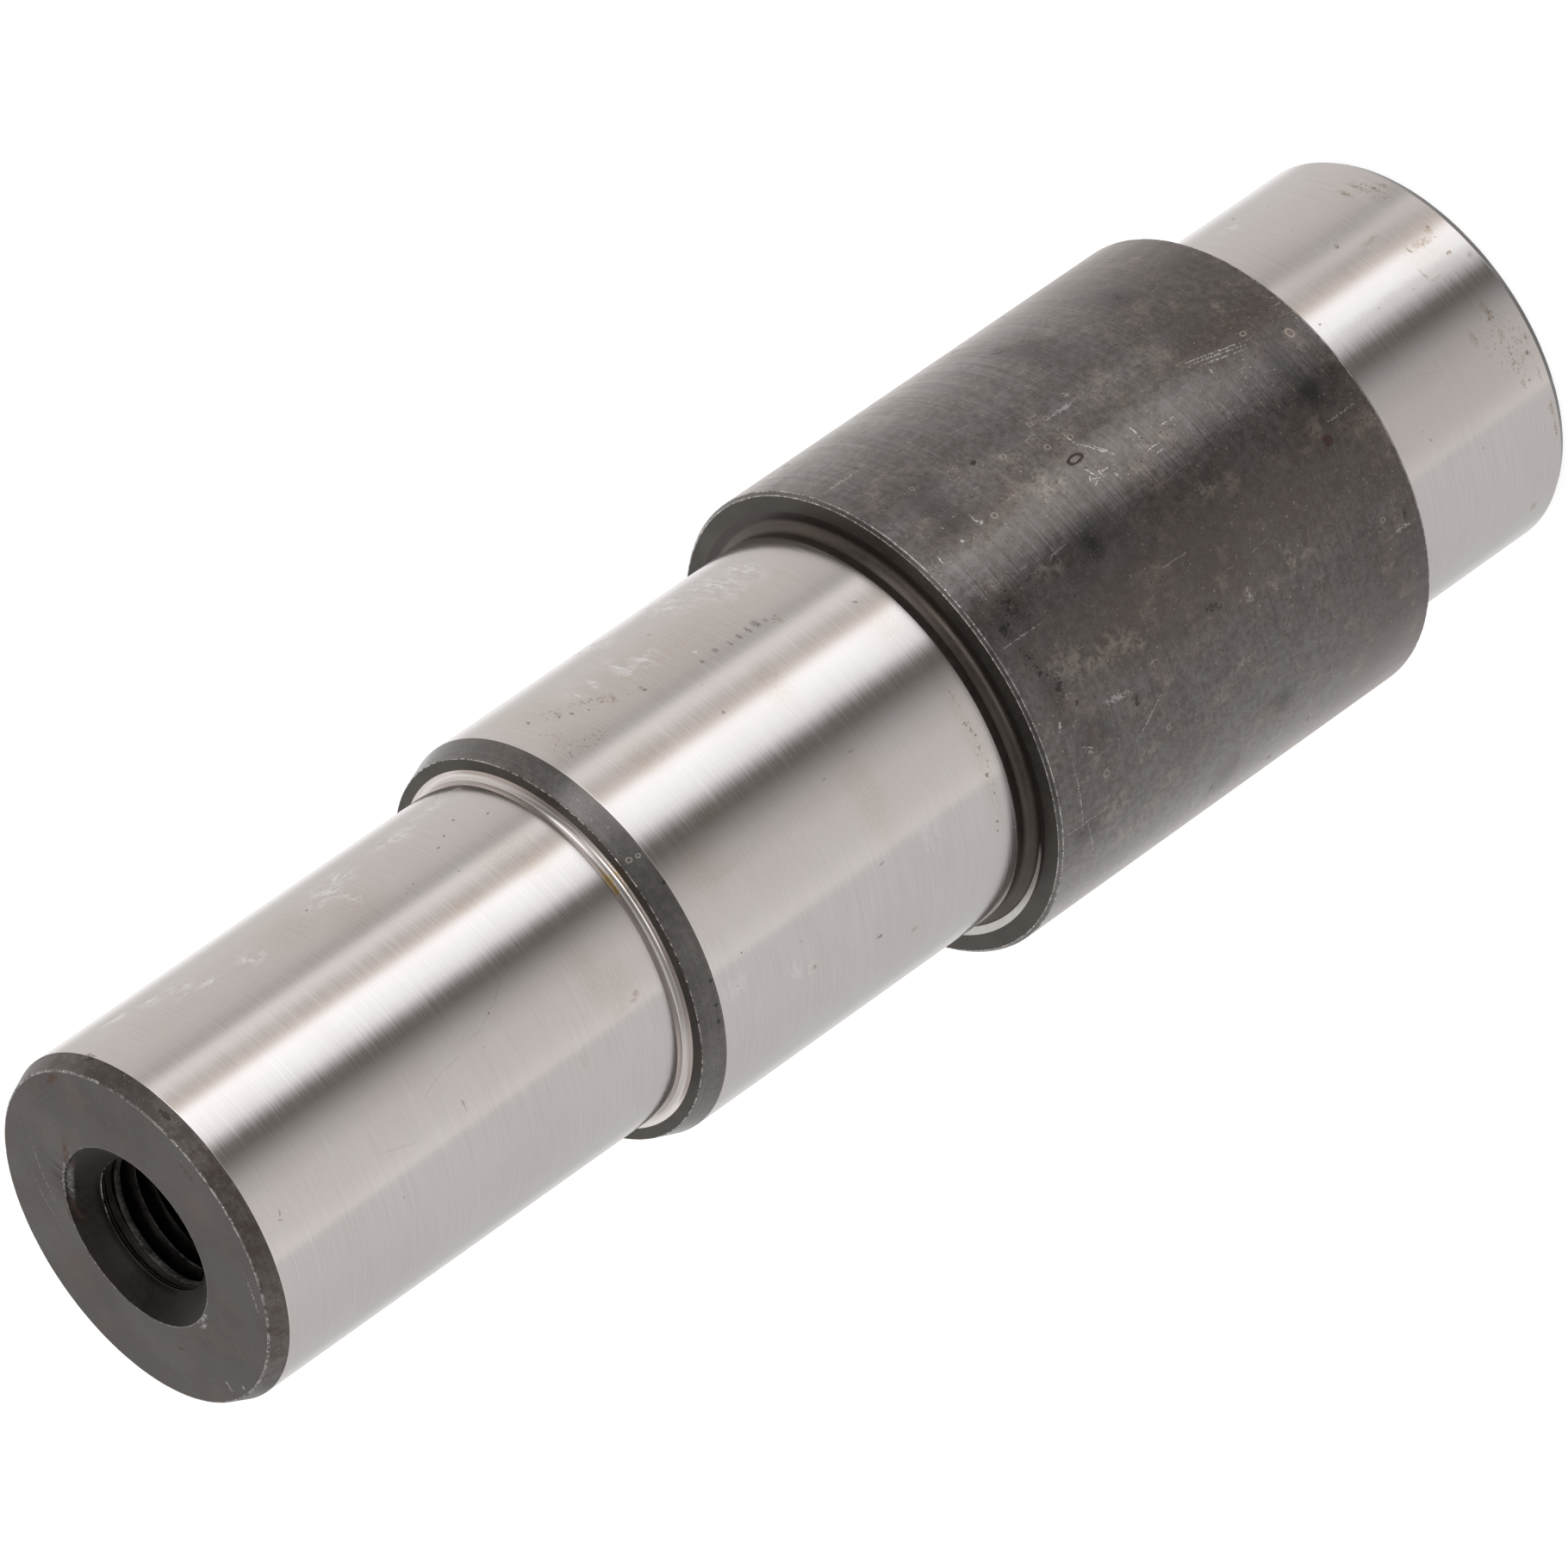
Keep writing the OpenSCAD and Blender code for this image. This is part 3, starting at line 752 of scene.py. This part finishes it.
    def sway(self):
        """How far the normals lean: with the turned lines and in streaks along the shaft."""
        net = self.net
        streaks = net.join(net.all(net.arc, 1.5), net.all(net.z, 0.06))
        streaks = net.noise(streaks, 1.0, 3, 0.7)
        sway = net.scaled(self.turns, 0.11, -0.073)
        return net.math("ADD", sway, net.scaled(streaks, 0.07, -0.035))

    def gloss(self):
        """The thin bright coat, which the stains, the collar's rear end and its side take away."""
        net = self.net
        dull = net.nearest(self.field, COLLAR_DULL)
        gloss = net.all(net.step(net.z, 44, 66, 0.45, 1.0), net.step(dull, 0.5, 1.3, 0.45, 1.0))
        stained = net.most(net.all(self.blots, 1.1), net.all(self.shade, 0.6), self.loops, self.dark,
                           net.all(self.warm, 0.9), net.all(self.rusty, 0.6))
        gloss = net.all(gloss, net.math("SUBTRACT", 1.0, net.math("MINIMUM", stained, 1.0)))
        gloss = net.all(gloss, net.step(self.turns, 0.35, 0.65, 0.78, 1.0))
        gloss = net.all(gloss, net.step(self.fine, 0.38, 0.6, 0.6, 1.0))
        side = net.window(net.angle, 18, 30, 50, 64)
        return net.all(gloss, net.scaled(side, -0.2, 1.0))


def turned_steel():
    look = TurnedSteel()
    look.stain()
    look.rust()
    look.spot()
    look.scratch()
    sway, coat = look.sway(), look.gloss()
    return look.finish(0.38, 0.005, 0.5, coat=coat, coat_rough=0.13, coat_ior=1.9, sheen=0.75, sway=sway)


def lead_steel(name, on_hub, base, light, rough, anisotropic):
    """Dark chamfers in front of the seats; the hub's is mottled, with painted shade on one side."""
    look = DarkSteel(name, base, light, 0.39, 0.3, HUB_R if on_hub else SEAT_R)
    net = look.net
    field = net.ragged(net.join(net.arc, net.z), 0.4, 1.6)
    if on_hub:
        mottle = net.patches(0.45, 4, 0.7, 0.44, 0.6)
        look.blend(tuple(v * k for v, k in zip(base, (0.62, 0.55, 0.5))), mottle, 0.7)
        # Painted shade: the hub's chamfer darker from -66 to -8 degrees, where it reflects the brightest
        # light.
        look.blend((0.07, 0.06, 0.055), net.window(net.angle, -66, -52, -20, -8, 0.42))
    look.blend((0.46, 0.42, 0.39), net.step(look.grit, 0.62, 0.7), 0.5)
    pits = net.all(net.dots(net.mm, 0.6, 0.06, 0.12), net.patches(0.3, 2, 0.5, 0.5, 0.58))
    nicks = net.broken(field, LEAD_NICKS, look.grain, 1.0, 0.4)
    look.blend(PIT_BLACK, net.most(pits, nicks), 0.75)
    net.marked_r = LEAD_RING_R
    look.blend((0.6, 0.56, 0.53), net.rings(field, LEAD_RINGS, 0.5, 0.75), 0.8)
    return look.finish(rough, 0.003, anisotropic, coat=0.5)


def relief_steel():
    """The dark relief beside the collar, with the bright crescent where a wheel has touched its face."""
    look = DarkSteel("relief_steel", (0.11, 0.087, 0.074), (0.142, 0.116, 0.1), 0.6, 0.15)
    net = look.net
    off_axis = net.all(net.math("SUBTRACT", net.angle, WHEEL_TURN), math.pi / 180)
    edge = net.all(net.math("COSINE", off_axis), WHEEL_OFF)
    edge = net.math("MINIMUM", net.math("ADD", edge, WHEEL_R), WHEEL_LIMIT)
    inside = net.step(net.math("SUBTRACT", edge, net.radius), 0.0, 0.06)
    on_face = net.step(net.z, COLLAR_FRONT - 0.6, COLLAR_FRONT - 0.5)
    touched = net.all(inside, net.step(net.radius, 33.8, 33.86), on_face)
    # Painted shade: darker past a radius of 33.35 mm, on the relief's floor in the hollow next to the face.
    look.blend((0.045, 0.037, 0.033), net.step(net.radius, 33.35, 33.7, 0, 0.62))
    look.blend((0.66, 0.63, 0.60), touched, net.step(net.angle, 54, 60))
    return look.finish(0.33, 0.0002, 0.3, metallic=0.75)


def shoulder_steel():
    """The plain dark faces of the shoulders."""
    look = DarkSteel("shoulder_steel", (0.088, 0.076, 0.066), (0.115, 0.102, 0.09), mottle=0.25)
    look.blend((0.34, 0.31, 0.29), look.net.step(look.grit, 0.64, 0.72), 0.35)
    return look.finish(0.42, 0.001, 0.2, metallic=0.8)


def end_steel():
    """The tapped end: plain dark steel, faint rings, some rust and pale scratches."""
    look = DarkSteel("end_steel", (0.155, 0.138, 0.131), (0.182, 0.165, 0.158), mottle=0.35)
    net = look.net
    polar = net.join(net.arc, net.radius)
    field = net.ragged(polar, 0.8, 0.9)
    look.blend((0.08, 0.07, 0.066), net.step(net.banded(net.radius, 2.4, 2, 0.6), 0.35, 0.65, 0.14, 0.0))
    # A little darker towards -Y.
    look.blend((0.09, 0.075, 0.07), net.step(net.y, -22, 16, 0.14, 0.0))
    warm = net.most(net.patches(0.16, 4, 0.6, 0.5, 0.68, 0, 0.35),
                    net.soft(field, END_WARM, 0.3, 1.3, 0.4))
    look.blend((0.17, 0.125, 0.11), warm)
    rust = net.broken(field, END_RUST, look.grain, 1.2, 0.7)
    look.blend((0.12, 0.062, 0.045), rust, 0.75)
    bitten = net.step(look.grit, 0.36, 0.62)
    pale = net.broken(net.ragged(polar, 0.3, 1.4), END_PALE, bitten, 1.6, 0.7)
    look.blend((0.46, 0.43, 0.41), pale, 0.75)
    look.blend((0.4, 0.37, 0.35), net.step(look.grit, 0.64, 0.72), 0.4)
    look.blend(GRIT_BLACK, net.step(look.grit, 0.29, 0.36, 1, 0), 0.35)
    return look.finish(0.5, 0.002, 0.2)


def sink_steel():
    """The countersink, its lip rubbed and rusty on one side."""
    look = DarkSteel("sink_steel", (0.034, 0.028, 0.025), (0.044, 0.038, 0.034))
    net = look.net
    field = net.ragged(net.join(net.arc, net.radius), 0.6, 1.2)
    rust = net.broken(field, SINK_RUST, look.grain, 1.0, 0.6)
    look.blend((0.085, 0.05, 0.039), rust, 0.65)
    lip = net.soft(field, SINK_LIP, 0.4, 1.3, 0.8)
    look.blend((0.19, 0.178, 0.168), lip)
    look.blend((0.55, 0.52, 0.5), lip, net.step(look.grit, 0.57, 0.65), 0.8)
    # Dark rings below a radius of 11 mm on the +Y side, at the foot of the countersink and in the centre
    # hole.
    low = net.all(net.step(net.radius, 10.9, 11.5, 1, 0), net.step(net.y, 3, 7))
    lines = net.step(net.banded(net.radius, 5.5, 1, 0.5), 0.45, 0.55)
    look.blend((0.006, 0.005, 0.005), low, lines, 0.85)
    return look.finish(0.48, 0.001, 0.3)


def thread_steel():
    """The tapped hole: nearly black, its first crests worn pale, the second also brightened as painted light.
    """
    look = DarkSteel("thread_steel", (0.03, 0.026, 0.024), (0.045, 0.04, 0.036))
    net = look.net
    depth = net.math("SUBTRACT", TOP, net.z)
    angle = net.math("MODULO", net.math("ADD", net.angle, 360), 360)
    turn = net.math("SUBTRACT", net.all(net.math("SUBTRACT", depth, CREST), 1 / PITCH),
                    net.all(angle, 1 / 360))
    first = net.window(turn, 0.74, 0.79, 1.08, 1.12)
    second = net.window(turn, 1.92, 1.96, 2.04, 2.08)
    lines = net.step(net.banded(depth, 1.9, 1, 0.5), 0.46, 0.54)
    look.blend((0.42, 0.39, 0.37), net.step(turn, 0.7, 0.76, 1, 0), lines)
    look.blend((0.6, 0.56, 0.53), first, net.step(look.fine, 0.34, 0.58, 0.45, 1.0))
    # The second crest: worn pale, and brightened further as painted light, for light hardly reaches it.
    look.blend((0.95, 0.9, 0.86), second, net.step(look.fine, 0.34, 0.58, 0.6, 1.0))
    look.blend((0.9, 0.86, 0.83), first, net.step(look.grit, 0.56, 0.64))
    return look.finish(0.42, 0.002, 0.2)


def worn_steel(name, dull, bright, sharp=0.14, span=None):
    """Edges rubbed paler than the steel beside them; span is the angle from and to which they are pale."""
    net = Surface(name)
    breaks = net.noise(net.mm, 0.8, 4, 0.7)
    nicks = net.noise(net.mm, 2.2, 3, 0.6)
    shown = net.step(breaks, 0.5 - sharp, 0.5 + sharp)
    nicked = net.step(nicks, 0.58, 0.66)
    if span:
        within = net.window(net.angle, *(at + fade for at in span for fade in (-SPAN_FADE, SPAN_FADE)))
        shown, nicked = net.all(shown, within), net.all(nicked, within)
    tint = net.mix(shown, dull, bright)
    tint = net.mix(nicked, tint, tuple(min(1, v * 1.8) for v in bright))
    tint = net.mix(net.step(nicks, 0.36, 0.42, 0.6, 0.0), tint, GRIT_BLACK)
    return net.finish(tint, 1.0, net.step(breaks, 0.4, 0.6, 0.45, 0.36), breaks, 0.01)


def dress(mesh):
    """Gives the skin its materials, in the order of MATERIALS."""
    made = {
        "hub": ground_steel("hub_steel", SEAT_FRONT + 0.1, TOP),
        "seat": ground_steel("seat_steel", COLLAR_FRONT, SEAT_FRONT),
        "rear": ground_steel("rear_steel", 0, COLLAR_REAR),
        "turned": turned_steel(), "relief": relief_steel(), "face": shoulder_steel(),
        "end": end_steel(), "sink": sink_steel(), "thread": thread_steel(),
        "hub_lead": lead_steel("hub_lead_steel", True, (0.165, 0.138, 0.124), (0.215, 0.184, 0.168),
                               0.5, 0.2),
        "lead": lead_steel("lead_steel", False, (0.17, 0.152, 0.142), (0.21, 0.19, 0.178), 0.24, 0.5),
        "worn": worn_steel("worn_edges", (0.24, 0.22, 0.205), (0.56, 0.53, 0.51)),
        "dotted": worn_steel("dotted_edges", (0.14, 0.125, 0.115), (0.56, 0.53, 0.51), 0.05),
        "mouth": worn_steel("mouth_edge", (0.12, 0.108, 0.1), (0.21, 0.195, 0.183)),
        "rim": worn_steel("cone_edge", (0.05, 0.045, 0.042), (0.75, 0.73, 0.71), 0.05, (-152, -84)),
        "hub_edge": worn_steel("hub_edge", (0.15, 0.135, 0.125), (0.38, 0.355, 0.34), 0.1),
    }
    for name in MATERIALS:
        mesh.materials.append(made[name])


# Soft boxes and flags round the shaft: angle from -Y towards -X, brightness there and how warm it is.
SURROUND = [
    (-180, 0.98, 0), (-170, 1.02, 0), (-160, 0.96, 0), (-152, 0.75, 0.02), (-144, 0.69, 0.02),
    (-132, 0.71, 0.02), (-96, 0.66, 0.03), (-84, 0.6, 0.03), (-78, 0.5, 0.02), (-73, 0.54, 0),
    (-67, 0.92, 0), (-62, 0.86, 0), (-56, 0.63, 0.04), (-51, 0.65, 0.1), (-47, 0.86, 0.1),
    (-43, 1.3, -0.04), (-40, 1.37, -0.08), (-28, 1.17, -0.08), (-22, 0.97, -0.06), (-17, 0.46, -0.02),
    (-13, 0.18, 0.07), (-7, 0.155, 0.12), (-2, 0.24, 0.04), (4, 0.36, 0.01), (10, 0.49, 0.01),
    (24, 0.65, 0.01), (46, 0.71, 0), (59.3, 0.81, 0), (60.1, 0.655, -0.03), (150, 0.6, -0.02),
    (160, 0.73, 0), (180, 0.79, 0),
]
# The same where the light comes from above.
UPPER = [
    (-180, 0.98, 0), (-165, 0.95, 0), (-150, 0.75, 0.02), (-110, 0.68, 0.03), (-84, 0.62, 0.03),
    (-72, 0.58, 0.03), (-64, 0.7, 0), (-58, 1.6, -0.04), (-50, 1.85, -0.04), (-36, 1.75, -0.04),
    (-27, 1.1, 0), (-17, 0.8, 0), (-5, 0.56, 0.02), (4, 0.52, 0.03), (20, 0.62, 0.01), (40, 0.76, 0),
    (80, 0.78, 0), (125, 0.66, 0), (150, 0.62, 0), (160, 0.76, 0), (180, 0.84, 0),
]
# How much of it is left at a height of the light's direction, in front of the shaft (-Y) and behind it.
NEAR_HEIGHTS = [
    (-1, 0.8), (-0.45, 1), (-0.33, 1.2), (-0.18, 1.2), (-0.06, 0.9), (0.18, 0.72), (0.4, 0.42), (0.8, 0.34),
    (0.93, 0.5), (0.965, 2), (1, 2.2),
]
FAR_HEIGHTS = [(-1, 0.9), (-0.45, 1), (0.6, 1.03), (0.8, 0.6), (0.93, 0.7), (0.965, 2), (1, 2.2)]
# Where light from below turns into light from above, and light from the front into light from behind, as
# shares of its direction; and the brightness that a ramp writes as 1.
HORIZON, FAR_SIDE, PEAK = (-0.3, -0.1), (-0.2, 0.35), 2.5
FLOOR_HALF, FLOOR_GREY, FLOOR_ROUGH, FLOOR_GLOW = 3.0, 0.5, 0.9, 0.85

# The photograph's camera: its width and focal length in pixels, and in its own axes, x right, y down and z
# away, the direction of the shaft's axis and the place of the tapped end, which is END_DEPTH metres away.
PHOTO_WIDTH_PX, PHOTO_FOCAL_PX, SENSOR_MM = 1820, 14273.46, 36
AXIS_SEEN = (0.70429841, -0.49146993, 0.51227048)
END_SEEN, END_DEPTH = (-0.05274881, 0.0368795, 1.0), 1.70248


def ramp(net, value, stops):
    """A colour ramp over stops of (place from 0 to 1, red, green, blue)."""
    shade = net.node("ValToRGB", {0: value})
    elements = shade.node.color_ramp.elements
    elements.remove(elements[-1])
    for i, (place, *color) in enumerate(stops):
        stop = elements[0] if i == 0 else elements.new(place)
        stop.position = place
        stop.color = (*color, 1)
    return shade


def tinted(value, warm):
    """Red, green and blue of a brightness; warm takes its share from blue and half of it from green."""
    return [value / PEAK * (1 - warm * k / 2) for k in range(3)]


def light():
    """Plain soft studio light, painted on the world by the angle and height that it comes from."""
    world = bpy.data.worlds.new("studio")
    world.use_nodes = True
    net = Net(world.node_tree)
    x, y, z = net.split(net.node("TexCoord", {}, "Generated"))
    turn = net.math("ARCTAN2", net.all(x, -1), net.all(y, -1))
    part = net.scaled(turn, 1 / (2 * math.pi), 0.5)
    low, high = (ramp(net, part, [(angle / 360 + 0.5, *tinted(*shade)) for angle, *shade in boxes])
                 for boxes in (SURROUND, UPPER))
    around = net.mix(net.step(z, *HORIZON), low, high)
    half_up = net.math("ADD", net.all(z, 0.5), 0.5)
    near, far = (ramp(net, half_up, [(height / 2 + 0.5, *tinted(value, 0)) for height, value in heights])
                 for heights in (NEAR_HEIGHTS, FAR_HEIGHTS))
    level = net.mix(net.step(y, *FAR_SIDE), near, far)
    lit = net.mix(1.0, around, level, blend="MULTIPLY")
    seen = net.mix(net.node("LightPath", {}, "Is Camera Ray"), lit, (1 / PEAK ** 2,) * 3)
    shine = net.node("Background", {"Color": seen, "Strength": PEAK ** 2})
    net.node("OutputWorld", {"Surface": shine})
    bpy.context.scene.world = world
    bpy.context.scene.view_settings.view_transform = "Standard"


def floor():
    """A plain pale floor that glows a little, and neither shows in the steel nor shades it."""
    mesh = bpy.data.meshes.new("floor")
    corners = [(x * FLOOR_HALF, y * FLOOR_HALF, 0) for x, y in ((-1, -1), (1, -1), (1, 1), (-1, 1))]
    mesh.from_pydata(corners, [], [(0, 1, 2, 3)])
    plane = bpy.data.objects.new("floor", mesh)
    bpy.context.scene.collection.objects.link(plane)
    material = bpy.data.materials.new("pale_floor")
    material.use_nodes = True
    shader = material.node_tree.nodes["Principled BSDF"]
    shader.inputs["Base Color"].default_value = (FLOOR_GREY, FLOOR_GREY, FLOOR_GREY, 1)
    shader.inputs["Roughness"].default_value = FLOOR_ROUGH
    shader.inputs["Specular IOR Level"].default_value = 0
    shader.inputs["Emission Color"].default_value = (1, 1, 1, 1)
    shader.inputs["Emission Strength"].default_value = FLOOR_GLOW
    mesh.materials.append(material)
    plane.visible_glossy = plane.visible_diffuse = plane.visible_shadow = False


def camera():
    """The photograph's view, set from where its camera sees the tapped end and the axis."""
    along = Vector(AXIS_SEEN).normalized()
    end = Vector(END_SEEN) * END_DEPTH
    towards = -end.normalized()
    front = (towards - along * towards.dot(along)).normalized()
    to_world = Matrix((front.cross(along), -front, -along))
    lens = bpy.data.cameras.new("photo_camera")
    lens.sensor_width = SENSOR_MM
    lens.lens = SENSOR_MM * PHOTO_FOCAL_PX / PHOTO_WIDTH_PX
    lens.clip_end = 50
    view = bpy.data.objects.new("photo_camera", lens)
    axes = to_world @ Matrix(((1, 0, 0), (0, -1, 0), (0, 0, -1)))
    view.matrix_world = Matrix.Translation(Vector((0, 0, TOP * MM)) - to_world @ end) @ axes.to_4x4()
    bpy.context.scene.collection.objects.link(view)
    bpy.context.scene.camera = view


skin_mesh = build_shaft()
dress(skin_mesh)
skin = bpy.data.objects.new("shaft_skin", skin_mesh)
bpy.context.scene.collection.objects.link(skin)
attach(skin, "root")
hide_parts(NODE)
floor()
light()
camera()
